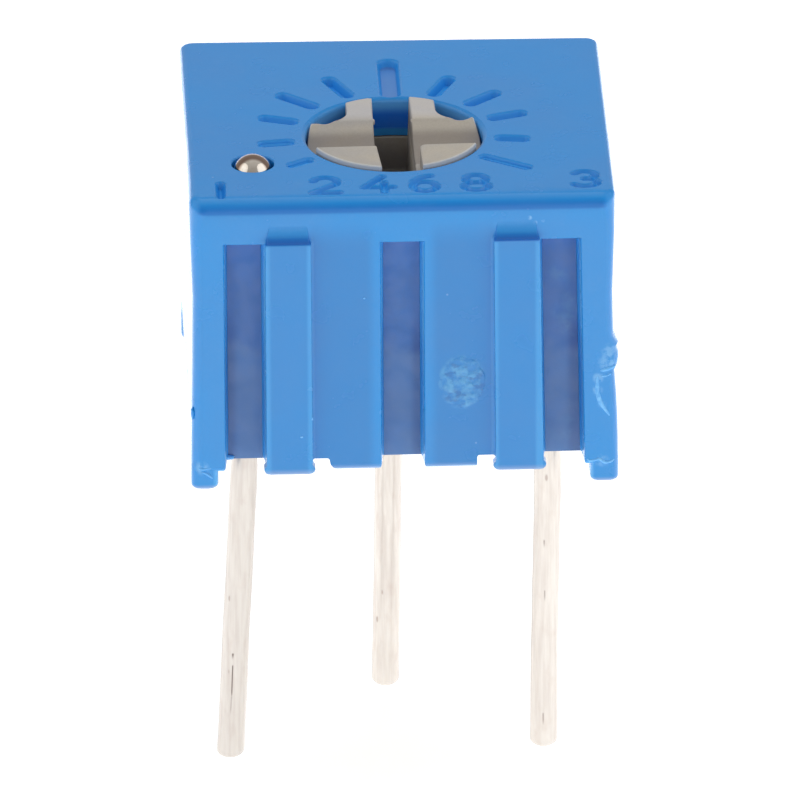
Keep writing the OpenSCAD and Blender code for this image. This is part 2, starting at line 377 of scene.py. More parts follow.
class Nodes:
    """Node tree of a material or a world, built up from nothing."""

    def __init__(self, owner):
        owner.use_nodes = True
        self.tree = owner.node_tree
        self.tree.nodes.clear()

    def node(self, kind, inputs=None, out=0, **settings):
        """Adds a node, with sockets to link or plain values as inputs, and hands back one output."""
        made = self.tree.nodes.new("ShaderNode" + kind)
        for key, value in settings.items():
            setattr(made, key, value)
        for key, value in (inputs or {}).items():
            if isinstance(value, bpy.types.NodeSocket):
                self.tree.links.new(value, made.inputs[key])
            else:
                made.inputs[key].default_value = value
        return made.outputs[out] if made.outputs else None

    def math(self, operation, a, b=0.0):
        return self.node("Math", {0: a, 1: b}, operation=operation)

    def times(self, first, *rest):
        for factor in rest:
            first = self.math("MULTIPLY", first, factor)
        return first


class Paint(Nodes):
    """A material round one Principled shader. Its places are in mm, and its colour is built in layers."""

    def __init__(self, name, **constants):
        self.material = bpy.data.materials.new(name)
        super().__init__(self.material)
        surface = self.node("BsdfPrincipled", {key.replace("_", " "): v for key, v in constants.items()})
        self.shader = surface.node
        self.node("OutputMaterial", {"Surface": surface})
        own = self.node("TexCoord", out="Object")
        self.place = self.node("Mapping", {"Vector": own, "Scale": (1 / MM,) * 3})
        self.x, self.y, self.z = self.node("SeparateXYZ", {0: self.place}).node.outputs
        self.colour = None

    def stretched(self, scale):
        return self.node("Mapping", {"Vector": self.place, "Scale": scale})

    def noise(self, scale, detail=2.0, roughness=0.5, vector=None):
        inputs = {"Vector": vector or self.place, "Scale": scale, "Detail": detail, "Roughness": roughness}
        return self.node("TexNoise", inputs)

    def ramp(self, value, low, high, to_low=0.0, to_high=1.0):
        """Smooth step from one level at low to another at high."""
        inputs = {"Value": value, "From Min": low, "From Max": high, "To Min": to_low, "To Max": to_high}
        return self.node("MapRange", inputs, interpolation_type="SMOOTHSTEP")

    def span(self, value, start, full, last, end):
        """Smooth rise from the start value to the full one, and smooth fall from the last to the end."""
        return self.times(self.ramp(value, start, full), self.ramp(value, end, last))

    def mix(self, factor, a, b):
        return self.node("Mix", {0: factor, 6: a, 7: b}, 2, data_type="RGBA")

    def tint(self, rgb, *masks):
        """Lays a colour over the layers so far, as far as the product of the masks says."""
        self.colour = self.mix(self.times(*masks), self.colour, srgb(*rgb))

    def aside(self, value, centre=0.0):
        """Distance of a value from a centre, on either side."""
        return self.math("ABSOLUTE", self.math("SUBTRACT", value, centre))

    def distance(self, point, place=None):
        return self.node("VectorMath", {0: place or self.place, 1: point}, "Value", operation="DISTANCE")

    def edges(self, radius):
        """1 along edges sharper than the radius, 0 on flats."""
        soft = self.node("Bevel", {"Radius": radius * MM}, samples=6)
        plain = self.node("NewGeometry", out="Normal")
        turned = self.node("VectorMath", {0: soft, 1: plain}, "Value", operation="DOT_PRODUCT")
        return self.ramp(turned, 0.995, 0.9)

    def finished(self, rough, *relief):
        """Joins the layers, the roughness and the relief, as (height, depth in mm), to the shader."""
        normal = None
        for height, depth in relief:
            inputs = {"Height": height, "Distance": depth * MM, "Strength": 1.0}
            if normal is not None:
                inputs["Normal"] = normal
            normal = self.node("Bump", inputs)
        for socket, value in (("Base Color", self.colour), ("Roughness", rough), ("Normal", normal)):
            self.tree.links.new(value, self.shader.inputs[socket])
        return self.material


# Whitened spots of the front, as place across and up, reach and strength
WHITENED = (
    ((3.40, 2.15), 0.20, 0.40),
    ((3.45, 2.35), 0.20, 0.35),
    ((-3.35, 0.37), 0.16, 0.40),
    ((3.3, 0.36), 0.16, 0.30),
    ((3.24, 1.88), 0.12, 0.45),
    ((3.23, 1.66), 0.11, 0.45),
    ((3.30, 1.40), 0.11, 0.40),
    ((2.11, 4.82), 0.05, 0.55),
    ((2.20, 4.73), 0.05, 0.45),
    ((2.33, 4.76), 0.04, 0.40),
)


def tint_front(p, aside, off_rib):
    """Duller plates and ribs, painted shade down the middle of the rib faces, painted light on the recess
    walls, and painted highlights on the upright edges of the ribs.
    """
    behind = p.math("SUBTRACT", p.y, FRONT_Y)
    front = p.ramp(behind, 0.03, 0.01)
    plates = p.times(p.span(aside, 0.40, 0.62, 1.46, 1.56), p.ramp(p.z, 4.92, 4.3))
    p.tint((32, 138, 192), front, 0.15)
    p.tint((20, 108, 178), plates, front, 0.5)
    # Painted shade down the middle of each rib face
    p.tint((20, 112, 184), p.ramp(off_rib, 0.36, 0.27), p.ramp(behind, -0.08, -0.12), 0.35)
    # Painted light on the recess walls, stronger higher up, lifting the shade inside them
    p.tint(
        (112, 206, 255),
        p.span(behind, 0.01, 0.04, RECESS_D + 0.01, RECESS_D + 0.03),
        p.ramp(aside, HALF_W - 0.3, HALF_W - 0.35),
        p.ramp(p.z, RECESS_Z + 0.04, RECESS_Z + 0.02),
        p.ramp(p.z, 1.9, 3.2, 0.35, 0.95),
    )
    # Painted highlight along the upright edges of the ribs
    p.tint((96, 184, 240), p.span(off_rib, 0.28, 0.34, 0.41, 0.44), front, p.ramp(p.z, 4.52, 4.4), 0.22)


def tint_top(p, aside):
    """Painted light and shade down the rotor hole, painted sheen and shade round the front edge, painted
    light in the grooves of the dial's marks and figures, and a painted lilac sheen on the widest mark's
    floor.
    """
    down = p.math("SUBTRACT", TOP_Z, p.z)
    behind = p.math("SUBTRACT", p.y, FRONT_Y)
    # Painted light near the mouth of the rotor hole, deepening to painted shade further down
    hole = p.ramp(p.distance((AXIS_X, AXIS_Y, TOP_Z - 0.8)), 1.8, 1.7)
    hole_light_and_shade = p.mix(p.ramp(down, 0.12, 0.32), srgb(92, 176, 255), srgb(24, 118, 236))
    p.colour = p.mix(p.times(p.ramp(down, 0.01, 0.09), hole), p.colour, hole_light_and_shade)
    # Painted sheen along the top of the rounded front edge, and painted shade across it below
    edge = p.times(p.ramp(aside, HALF_W - 0.06, HALF_W - 0.2), p.ramp(behind, 0.5, 0.4), 0.75)
    p.tint((78, 156, 226), p.span(down, 0.008, 0.022, 0.01, 0.105), edge)
    p.tint((0, 106, 192), p.span(down, 0.06, 0.17, 0.22, 0.27), edge)
    inside = p.times(
        p.ramp(aside, HALF_W - 0.2, HALF_W - 0.25),
        p.ramp(behind, 0.2, 0.25),
        p.ramp(p.y, BACK_Y - 0.25, BACK_Y - 0.3),
        p.ramp(p.distance((AXIS_X, AXIS_Y, TOP_Z)), HOLE_R + 0.09, HOLE_R + 0.11),
        p.ramp(p.distance((VENT_X, VENT_Y, TOP_Z)), VENT_R + 0.03, VENT_R + 0.05),
    )
    groove = p.times(inside, p.ramp(down, 0.010, 0.035))
    # Painted light in the grooves of the marks and figures, standing in for light from their own walls
    p.tint((40, 154, 230), groove, p.ramp(behind, 0.9, 1.3, 0.45, 0.85))
    # Painted lilac sheen on the floor of the widest mark, behind the hole
    widest = p.times(p.ramp(p.aside(p.x, AXIS_X), 0.15, 0.11), p.ramp(down, 0.10, 0.15))
    p.tint((90, 143, 207), widest, inside, p.ramp(p.y, AXIS_Y + HOLE_R, AXIS_Y + HOLE_R + 0.1, 0, 0.9))
    return groove


def tint_wear(p, aside):
    """Dull bloom round the lower edges, white flecks and spots, and the bruise round the mould gate."""
    sole = p.span(p.z, SOLE_Z + 0.002, SOLE_Z + 0.012, SOLE_Z + 0.03, SOLE_Z + 0.12)
    hem = p.span(p.z, FOOT_H + 0.002, FOOT_H + 0.012, FOOT_H + 0.01, FOOT_H + 0.14)
    p.tint((150, 166, 200), p.math("MAXIMUM", sole, p.times(hem, p.ramp(aside, 3.0, 2.95))), 0.6)
    cells = p.node("TexVoronoi", {"Vector": p.place, "Scale": 1.1})
    p.tint((170, 205, 238), p.ramp(cells, 0.024, 0.014), 0.3)
    patchy = p.ramp(p.noise(11, 4.0, 0.6), 0.36, 0.6)
    for (x, z), reach, strength in WHITENED:
        p.tint((150, 206, 246), p.ramp(p.distance((x, FRONT_Y, z)), reach, reach * 0.3), strength, patchy)
    squash = 0.8
    gate = p.distance((GATE_X - 0.01, FRONT_Y, GATE_Z * squash), p.stretched((1, 1, squash)))
    gate = p.ramp(gate, 0.42, 0.33)
    bruise = p.times(gate, p.ramp(p.noise(7, 4.0, 0.55), 0.36, 0.7))
    p.tint((104, 178, 222), bruise, 0.6)
    p.tint((14, 90, 160), gate, p.ramp(p.noise(5, 3.0, 0.5, p.stretched((1, 1, 1.7))), 0.46, 0.34), 0.5)
    return bruise


def blue_plastic():
    p = Paint("blue_moulded_plastic", IOR=1.5)
    aside = p.aside(p.x)
    off_rib = p.aside(aside, RIB_X)
    p.colour = p.mix(p.ramp(p.noise(0.55), 0.35, 0.65), srgb(14, 141, 220), srgb(34, 139, 216))
    p.tint((10, 118, 204), p.ramp(p.noise(26, 3.0), 0.3, 0.7, 0, 0.10))
    p.tint((150, 180, 214), p.ramp(p.noise(3.2, 4.0, 0.65), 0.55, 0.8, 0, 0.03))
    tint_front(p, aside, off_rib)
    groove = tint_top(p, aside)
    # Shaded foot of each rib's hollow head
    head = p.span(p.z, RECESS_Z + 0.03, RECESS_Z + 0.06, RECESS_Z + 0.08, RECESS_Z + 0.21)
    out = p.ramp(p.y, FRONT_Y - 0.02, FRONT_Y - 0.04)
    p.tint((4, 94, 185), head, p.ramp(off_rib, 0.39, 0.37), out, 0.82)
    bruise = tint_wear(p, aside)
    rough = p.math("ADD", p.ramp(p.noise(2.1, 3.0), 0.3, 0.7, 0.20, 0.28), p.times(groove, 0.25))
    return p.finished(rough, (p.noise(1.3), 0.006), (p.noise(22), 0.0005), (bruise, 0.01))


def recess_plastic():
    """The moulding's deep recess floors, hazed by resin that bled over them low down."""
    p = Paint("blue_plastic_hazed", IOR=1.5)
    p.colour = p.mix(p.ramp(p.noise(1.6, 3.0), 0.35, 0.65), srgb(52, 108, 173), srgb(60, 106, 165))
    # Shadowed strips beside one wall of each
    for edge, way in ((-RECESS_X - RECESS_W / 2, 1), (MID_RECESS_W / 2, -1), (RECESS_X + RECESS_W / 2, -1)):
        off = p.times(p.math("SUBTRACT", p.x, edge), way)
        p.tint((16, 66, 132), p.span(off, -0.10, -0.05, 0.10, 0.25), p.ramp(p.z, 3.1, 2.1, 0.15, 1.0), 0.7)
    mottle = p.ramp(p.noise(2.3, 4.0, 0.6), 0.5, 0.75, 0, 0.35)
    p.tint((84, 138, 176), mottle, p.ramp(p.x, 1.5, 2.4))
    ragged_z = p.math("ADD", p.z, p.ramp(p.noise(1.1, 3.0), 0.3, 0.7, 0, 0.5))
    p.tint((104, 138, 172), p.ramp(ragged_z, 2.75, 2.35), 0.30)
    rough = p.ramp(p.noise(4, 3.0), 0.3, 0.7, 0.35, 0.5)
    return p.finished(rough, (p.noise(2.2, 3.0), 0.01), (p.noise(30, 3.0), 0.0015))


def cream_plastic():
    p = Paint("cream_moulded_plastic", IOR=1.48)
    p.colour = p.mix(p.ramp(p.noise(1.4, 3.0), 0.35, 0.65), srgb(188, 180, 167), srgb(180, 175, 169))
    p.tint((146, 134, 118), p.ramp(p.noise(30, 3.0), 0.35, 0.7, 0, 0.15))
    # Painted highlight along the sharp edges
    p.tint((205, 203, 206), p.edges(0.03), 0.45)
    # Painted shade down the slot, painted light on the arms behind the cross valley, and painted shade on the
    # valley's floor
    p.tint((112, 107, 106), p.ramp(p.z, HUB_Z - 0.5, HUB_Z - 1.2), 0.64)
    arms = p.times(p.ramp(p.y, AXIS_Y + 0.45, AXIS_Y + 0.75), p.ramp(p.z, HUB_Z - 0.30, HUB_Z - 0.15))
    p.tint((214, 216, 226), arms, 0.3)
    valley = p.span(p.z, HUB_Z - 0.50, HUB_Z - 0.40, HUB_Z - 0.22, HUB_Z - 0.09)
    p.tint((122, 112, 104), valley, p.ramp(p.y, AXIS_Y - 0.61, AXIS_Y - 0.55), 0.65)
    # Painted light round the side of the head
    rim_band = p.ramp(p.distance((AXIS_X, AXIS_Y, HUB_Z - 0.02)), HUB_R - 0.035, HUB_R - 0.012)
    p.tint((208, 209, 208), p.ramp(p.z, TOP_Z - 0.04, TOP_Z - 0.01), rim_band, 0.9)
    rough = p.ramp(p.noise(8, 3.0), 0.3, 0.7, 0.55, 0.72)
    return p.finished(rough, (p.noise(2.5, 3.0), 0.008), (p.noise(40, 4.0, 0.6), 0.002))


# Scratches down the leads' fronts, as (x, z) of the upper and the lower end, half width and depth of tone
SCRATCHES = (
    ((-2.840, -3.40), (-2.846, -3.50), 0.024, 1.0),
    ((-2.845, -3.62), (-2.868, -4.22), 0.016, 0.8),
    ((-2.868, -4.2), (-2.892, -4.52), 0.020, 0.3),
    ((2.372, -1.42), (2.372, -1.56), 0.020, 0.5),
    ((2.380, -2.35), (2.380, -2.55), 0.018, 0.45),
    ((2.350, -4.62), (2.352, -4.84), 0.020, 0.45),
)


def tinned_wire():
    p = Paint("tinned_copper_wire", Metallic=1.0)
    streaks = p.noise(1.0, 4.0, 0.6, p.stretched((16, 16, 1.1)))
    p.colour = p.mix(p.ramp(streaks, 0.3, 0.7), srgb(183, 178, 172), srgb(176, 169, 163))
    smear = p.noise(1.0, 3.0, 0.55, p.stretched((5, 5, 2.4)))
    p.tint((166, 153, 145), p.ramp(smear, 0.5, 0.8, 0, 0.4))
    # Painted shade down the two sides of each wire
    facing = p.node("SeparateXYZ", {0: p.node("NewGeometry", out="Normal")}, "X")
    p.tint((128, 122, 120), p.ramp(p.aside(facing), 0.90, 0.995), 0.45)
    pits = p.node("TexVoronoi", {"Vector": p.stretched((3.4, 3.4, 1.5)), "Scale": 1.0})
    pit = p.ramp(pits, 0.11, 0.05)
    p.tint((120, 104, 96), pit, 0.5)
    # The first lead is a little duller
    p.tint((148, 144, 140), p.ramp(p.x, -1.4, -1.6, 0, 0.28))
    for (x0, z0), (x1, z1), half, tone in SCRATCHES:
        lean = p.times(p.math("SUBTRACT", p.z, z0), (x1 - x0) / (z1 - z0))
        off = p.aside(p.math("SUBTRACT", p.x, x0), lean)
        length = p.span(p.z, z1 - 0.03, z1 + 0.12, z0 - 0.02, z0 + 0.02)
        front = p.ramp(p.y, LEAD_Y, LEAD_Y - 0.1)
        p.tint((70, 58, 54), p.ramp(off, half, half * 0.2), length, front, tone)
    rough = p.ramp(streaks, 0.3, 0.7, 0.30, 0.42)
    return p.finished(rough, (streaks, 0.003), (p.noise(14, 3.0), 0.003), (pit, 0.005))


def ball_steel():
    """Bright ball, with a painted reflection of the dark hole wall as a brown ring behind its crown, and a
    painted lilac reflection round its edge.
    """
    p = Paint("bright_steel_ball", Metallic=1.0)
    away = p.distance((VENT_X, VENT_Y - 0.91 * BALL_R, BALL_LOW.z + 1.42 * BALL_R))
    grain = p.noise(5, 4.0, 0.6)
    p.colour = p.mix(p.ramp(grain, 0.35, 0.7), srgb(236, 228, 218), srgb(222, 210, 194))
    # Painted reflection of the dark hole wall, as a brown ring behind the crown
    p.tint((112, 78, 60), p.span(away, 0.62 * BALL_R, 0.84 * BALL_R, 1.06 * BALL_R, 1.20 * BALL_R), 0.85)
    # Painted lilac reflection of the pale surroundings round the ball's edge
    p.tint((226, 216, 236), p.ramp(away, 1.10 * BALL_R, 1.25 * BALL_R))
    return p.finished(p.ramp(grain, 0.3, 0.7, 0.03, 0.08), (grain, 0.002))


def plain_metal(name, light, dark, scale, rough):
    p = Paint(name, Metallic=1.0)
    grain = p.noise(scale, 4.0, 0.6)
    p.colour = p.mix(p.ramp(grain, 0.35, 0.7), srgb(*light), srgb(*dark))
    return p.finished(p.ramp(grain, 0.3, 0.7, rough, rough + 0.18), (grain, 0.003))


def mineral(name, light, dark, scale, rough, relief):
    p = Paint(name, IOR=1.5)
    grain = p.noise(scale, 5.0, 0.65)
    p.colour = p.mix(p.ramp(grain, 0.35, 0.65), srgb(*light), srgb(*dark))
    p.tint(dark, p.ramp(p.noise(scale / 9, 3.0), 0.45, 0.7, 0, 0.5))
    return p.finished(p.ramp(grain, 0.3, 0.7, rough, rough + 0.15), (grain, relief))


BLUE = blue_plastic()
HAZED = recess_plastic()
CREAM = cream_plastic()
WIRE = tinned_wire()
SOLDER = plain_metal("dull_solder", (208, 208, 210), (160, 160, 164), 12, 0.35)
BALL = ball_steel()
SPRING = plain_metal("spring_alloy", (222, 192, 140), (196, 160, 104), 20, 0.25)
SILVER = mineral("fired_silver_film", (206, 206, 202), (178, 176, 172), 30, 0.4, 0.003)
CERMET = mineral("fired_cermet_track", (46, 44, 44), (28, 27, 28), 36, 0.45, 0.003)
CERAMIC = mineral("alumina_plate", (238, 236, 230), (222, 218, 210), 24, 0.55, 0.003)
RUBBER = mineral("nitrile_rubber", (44, 44, 46), (30, 30, 32), 18, 0.6, 0.004)
RESIN = mineral("cast_epoxy", (196, 172, 118), (184, 159, 108), 5, 0.3, 0.01)
STRESS = mineral("blue_plastic_stressed", (118, 190, 244), (88, 168, 234), 14, 0.4, 0.004)


# ---- housing
# How far each side stands out from the ideal block, as (z, mm)
RIGHT_SWELL = ((0, 0.09), (1.0, 0.075), (1.5, 0.055), (2.0, 0.02), (3.4, -0.01), (4.6, 0.025), (5.3, 0.04))
LEFT_SWELL = ((0, 0.03), (1.5, 0.01), (3.4, -0.02), (4.6, 0.01), (5.0, 0.025), (5.3, 0.0))
# Extra points along the sides, in mm behind the front, and heights of the body's rings
SIDE_STOPS = (0.4, 0.55, 0.8, 1.2, 1.8, 2.6, 3.8, 5.2)
BODY_RINGS = (0.8, 1.2, 1.6, 1.9, 1.98, 2.08, 2.2, 2.3, 2.4, 2.48, 2.62, 2.8, 3.4, 4.0, 4.5, 4.7)
# How far the right-hand rib and recess lean outward at the bottom, as (x, mm)
LEAN = ((1.2, 0.0), (1.52, 0.028), (2.28, 0.058), (2.95, 0.066), (3.4, 0.0))


def swell(x, y, z):
    """Moves a point of the ideal block to where the moulding's uneven sides really are."""
    table = RIGHT_SWELL if x > 0 else LEFT_SWELL
    out = read_off(table, z)
    if x > HALF_W - 0.3 and y < FRONT_Y + 0.5:
        rise = min(clamp((z - BRUISE_LOW) / 0.1), clamp((BRUISE_HIGH - z) / 0.14))
        rough = 0.75 + 0.25 * sin(z * 23)
        out += BRUISE_OUT * rise * rough * clamp((FRONT_Y + 0.5 - y) / 0.2)
    fade = clamp((y - FRONT_Y - 0.5) / 1.9)
    out += (table[-1][1] - out) * fade * fade * (3 - 2 * fade)
    deep = (y - FRONT_Y) / (BACK_Y - FRONT_Y)
    back = 0.12 * (0.5 - 0.5 * x / HALF_W) + 0.01 * (TOP_Z - z) / TOP_Z
    return x * (1 + out / HALF_W), y + back * deep, z


def block_plan(z):
    """Plan of the ideal block at a height, with extra points along its sides."""
    steps = 6
    near_top = clamp((z - TOP_Z + 0.7) / 0.4)
    radii = (0.2 + 0.12 * near_top, 0.16 + 0.12 * near_top, 0.28, 0.26)
    points = plan(-HALF_W, HALF_W, FRONT_Y, BACK_Y, radii, steps)
    front = 2 * (steps + 1)
    right = [(HALF_W, FRONT_Y + s, 1, 0) for s in SIDE_STOPS]
    left = [(-HALF_W, FRONT_Y + s, -1, 0) for s in SIDE_STOPS[::-1]]
    return points[:front] + right + points[front:] + left


def housing_body():
    """The block with rounded front edge, slight draft, and the bruise on its right front corner."""
    foot_r = 0.12
    levels = [(FOOT_H + foot_r * up, foot_r * to_go) for to_go, up in quarter(4)]
    levels += [(z, 0) for z in BODY_RINGS]
    rings = [
        [swell(x - nx * inset, y - ny * inset, z) for x, y, nx, ny in block_plan(z)]
        for z, inset in levels
    ]
    for to_go, up in quarter(10):
        ring = []
        for x, y, nx, ny in block_plan(TOP_Z):
            front = max(0, -ny) ** 2
            left = 0.5 - 0.5 * x / HALF_W
            side = 0.14 * max(0, -nx) ** 2 + 0.10 * max(0, nx) ** 2 + 0.20 * max(0, ny) ** 2
            inset = (side + (0.21 + 0.05 * left) * front) * up
            drop = (side + (0.32 + 0.03 * left) * front) * to_go
            ring.append(swell(x - nx * inset, y - ny * inset, TOP_Z - drop))
        rings.append(ring)
    return loft(rings)


def rib(x, top):
    """Rib with a head that runs out in a hollow curve, and a small hook on each side of its foot."""
    inner, out = FRONT_Y + 0.06, FRONT_Y - RIB_OUT
    half = RIB_W / 2
    upper_r, lower_r = 0.6, 0.168
    start, knee = radians(3), radians(25)

    def hollow(a):
        """How far out and how far down the head has come where it slopes by a."""
        upper, lower = min(a, knee), max(a, knee)
        out_by = upper_r * (cos(start) - cos(upper)) + lower_r * (cos(knee) - cos(lower))
        return out_by, upper_r * (sin(upper) - sin(start)) + lower_r * (sin(lower) - sin(knee))

    def ring(z, w, y, r=0.03):
        return at_z(plan(x - w, x + w, y, inner, (r, r, 0.005, 0.005), 3), z)

    # Each step is a height, how much wider the rib is there, and how far back its face is
    foot_steps = ((-0.006, -0.085, 0.09), (0.004, -0.045, 0.045), (0.028, -0.003, 0.014), (0.06, 0.027, 0),
                  (0.10, 0.04, -0.003), (0.13, 0.036, -0.003), (0.18, 0, 0))
    head_steps = ((-0.04, -0.005, 0), (-0.018, -0.008, 0.003), (-0.004, -0.012, 0.010))
    rings = [ring(FOOT_H + up, half + wider, out + back) for up, wider, back in foot_steps]
    rings += [ring(top + up, half + wider, out + back) for up, wider, back in head_steps]
    slopes = [radians(v) for v in (68, 60, 52, 43, 34, 25, 19, 13, 8, 3)]
    height = hollow(slopes[0])[1]
    for k, a in enumerate(slopes):
        out_by, down_by = hollow(a)
        narrow = half - 0.016 - 0.05 * k / (len(slopes) - 1)
        rings.append(ring(top + height - down_by, narrow, FRONT_Y + 0.0015 - out_by, 0.02))
    return loft(rings)


def foot(side_x, side_y, width):
    """Corner foot with a rounded sole."""
    length, sole_r, corner_r, slim = 0.6, 0.09, 0.12, 0.035
    x1 = side_x * (HALF_W + (0.085 if side_x > 0 else 0.025))
    y1 = BACK_Y - 0.01 if side_y > 0 else FRONT_Y + 0.012
    low_x, high_x = sorted((x1, x1 - side_x * width))
    low_y, high_y = sorted((y1, y1 - side_y * length))

    def ring(z, inset, r=corner_r):
        return at_z(plan(low_x + inset, high_x - inset, low_y + inset, high_y - inset, (r,) * 4, 3), z)

    rings = [ring(SOLE_Z + sole_r * up, sole_r * to_go) for to_go, up in quarter(4)]
    rings += [ring(FOOT_H + 0.12, 0), ring(FOOT_H + 0.34, slim, 0.1)]
    return loft(rings)


def rim(radius):
    """Steps of a rounded rim: how far a cutter has grown, and how far below the face it is."""
    steps = [radians(v) for v in (0, 26, 52, 76)]
    return [(radius * (1 - cos(a)), radius * (1 - sin(a))) for a in steps]


def mark_cutter(angle, start, stop, width, depth):
    """Straight dial mark with round corners, rim and floor, at an angle round the rotor."""
    draft, rounding = 0.03, 0.06
    floor, soft = TOP_Z - depth, min(0.02, depth / 4)

    def ring(grow, z):
        half = width / 2 + grow
        return at_z(plan(-half, half, start - grow, stop + grow, (half * 0.95,) * 4, 5), z)

    rings = [ring(-draft - soft * inward, floor + soft * up) for inward, up in ((1, 0), (0.3, 0.3), (0, 1))]
    rings += [ring(grow, TOP_Z - drop) for grow, drop in rim(rounding)]
    rings.append(ring(rounding * 0.76, TOP_Z + 0.1))
    mark = loft(rings)
    mark.data.transform(Matrix.Translation((AXIS_X, AXIS_Y, 0)) @ Matrix.Rotation(angle, 4, "Z"))
    return mark


def bore(x, y, radius, low, rounding, segments):
    """Round cutter through the top with a rounded rim."""
    profile = [(0, low), (radius, low)]
    profile += [(radius + grow, TOP_Z - drop) for grow, drop in rim(rounding)]
    profile += [(radius + 0.76 * rounding, TOP_Z + 0.2), (0, TOP_Z + 0.2)]
    return lathe(profile, segments, (x, y))


def flared_side(half, flare, low):
    """Right-hand side (x, z) of an opening in the lower edge, up to where it stands upright."""
    side = [(half + flare, low), (half + flare, FOOT_H)]
    return side + [(half + flare * to_go, FOOT_H + flare * up) for to_go, up in quarter(4, 1)]


def recess_cutter(x, width):
    """Upright recess, open and flared below, with rounded mouth, draft and soft inner corners."""
    floor_y = FRONT_Y + RECESS_D

    def ring(y, grow):
        half = width / 2 + grow
        points = both_halves(flared_side(half, 0.10, -0.3) + [(half, RECESS_Z + grow)])
        return [(x + u, y, z) for u, z in points]

    rings = [ring(floor_y, -0.065), ring(floor_y - 0.008, -0.048), ring(floor_y - 0.03, -0.036)]
    rings += [ring(FRONT_Y + drop, grow) for grow, drop in rim(0.03)]
    rings.append(ring(FRONT_Y - 0.3, 0.024))
    return loft(rings)


def notch_cutter(x, width, depth, flare):
    """Notch in the lower edge of a plate, with round corners."""
    half, soft = width / 2, 0.04
    corner = [(half - soft * up, FOOT_H + depth - soft * to_go) for to_go, up in quarter(3)]
    points = both_halves(flared_side(half, flare, -0.2) + corner)
    return loft([[(x + u, y, z) for u, z in points] for y in (FRONT_Y - 0.4, FRONT_Y + 0.7)])


def arc(cx, cy, rx, ry, start, stop, steps=9):
    """Points along part of an ellipse, in units of a figure's height."""
    turn = [radians(start + (stop - start) * k / steps) for k in range(steps + 1)]
    return [(cx + rx * cos(a), cy + ry * sin(a)) for a in turn]


def loop(cx, cy, rx, ry):
    """Ellipse in two halves."""
    return [arc(cx, cy, rx, ry, start, start + 180) for start in (0, 180)]


FIGURES = {
    "1": [[(0, 0), (0, 1)]],
    "2": [arc(0, 0.70, 0.34, 0.30, 165, -30) + [(-0.36, 0.02)], [(-0.36, 0), (0.38, 0)]],
    "3": [arc(-0.02, 0.74, 0.32, 0.26, 150, -90), arc(-0.02, 0.24, 0.36, 0.26, 90, -150)],
    "4": [[(0.14, 1), (-0.38, 0.3)], [(-0.38, 0.3), (0.42, 0.3)], [(0.18, 0.62), (0.18, 0)]],
    "6": [arc(0.28, 0.42, 0.62, 0.58, 100, 190)] + loop(0, 0.3, 0.32, 0.3),
    "8": loop(0, 0.74, 0.28, 0.26) + loop(0, 0.25, 0.34, 0.25),
}


def stroke_cutter(points, width, depth):
    """Soft groove with round ends along a line of points, sunk in the top."""
    pts = [Vector(p) for p in points]
    cap = [radians(v) for v in (-60, -30, 0, 30, 60)]

    def outline(half):
        sides = [Vector((-along.y, along.x)) * half for along in headings(pts)]
        right = [p - side for p, side in zip(pts, sides)]
        left = [p + side for p, side in zip(pts, sides)]
        ends = []
        for end, before in ((pts[-1], pts[-2]), (pts[0], pts[1])):
            a = atan2(end.y - before.y, end.x - before.x)
            ends.append([end + Vector((cos(a + t), sin(a + t))) * half for t in cap])
        return right + ends[0] + left[::-1] + ends[1]

    floor, steps = 0.012, 6
    rings = []
    for k in range(steps):
        grown = floor + (width / 2 - floor) * k / steps
        rings.append(at_z(outline(grown), TOP_Z - depth * 0.5 * (1 + cos(pi * k / steps))))
    rings.append(at_z(outline(width / 2), TOP_Z - 0.0015))
    rings.append(at_z(outline(width / 2 + 0.01), TOP_Z + 0.1))
    return loft(rings)


def cut_figure(body, text, x, y, height, width, depth):
    for line in FIGURES[text]:
        points = [(x + height * u, y + height * (v - 0.5)) for u, v in line]
        cut(body, stroke_cutter(points, width, depth))


def cut_dial(body):
    """Marks round the rotor hole, and the figures in front of it."""
    cut(body, mark_cutter(0, HOLE_R + 0.07, HOLE_R + 1.57, 0.32, 0.16))
    # Angle, outer ends on the left and right, and depths on the left and right
    for angle, left, right, left_depth, right_depth in (
        (24, 1.1, 1.05, 0.16, 0.16),
        (47.5, 1.06, 0.97, 0.15, 0.15),
        (70.5, 0.87, 0.88, 0.14, 0.14),
        (97.5, 0.8, 0.77, 0.1, 0.12),
        (124, 0.69, 1.18, 0.07, 0.09),
    ):
        a = radians(angle)
        wide = 0.20 if angle < 110 else 0.15
        cut(body, mark_cutter(a, HOLE_R + 0.22, HOLE_R + left, wide, left_depth))
        cut(body, mark_cutter(-a, HOLE_R + 0.22, HOLE_R + right, wide, right_depth))
    cut_figure(body, "1", -2.98, FRONT_Y + 0.50, 0.5, 0.20, 0.13)
    cut_figure(body, "3", 3.06, FRONT_Y + 0.68, 0.58, 0.18, 0.09)
    for text, x in (("2", -1.25), ("4", -0.38), ("6", 0.4), ("8", 1.25)):
        cut_figure(body, text, x, FRONT_Y + 0.61, 0.60, 0.18, 0.09)


def lean_front(obj):
    """Leans the right-hand rib and recess outward a little toward the bottom."""
    split_faces(obj)
    for v in obj.data.vertices:
        if v.co.y <= FRONT_Y + 0.7 and LEAN[0][0] < v.co.x < LEAN[-1][0]:
            v.co.x += read_off(LEAN, v.co.x) * clamp((4.3 - v.co.z) / 3.8)


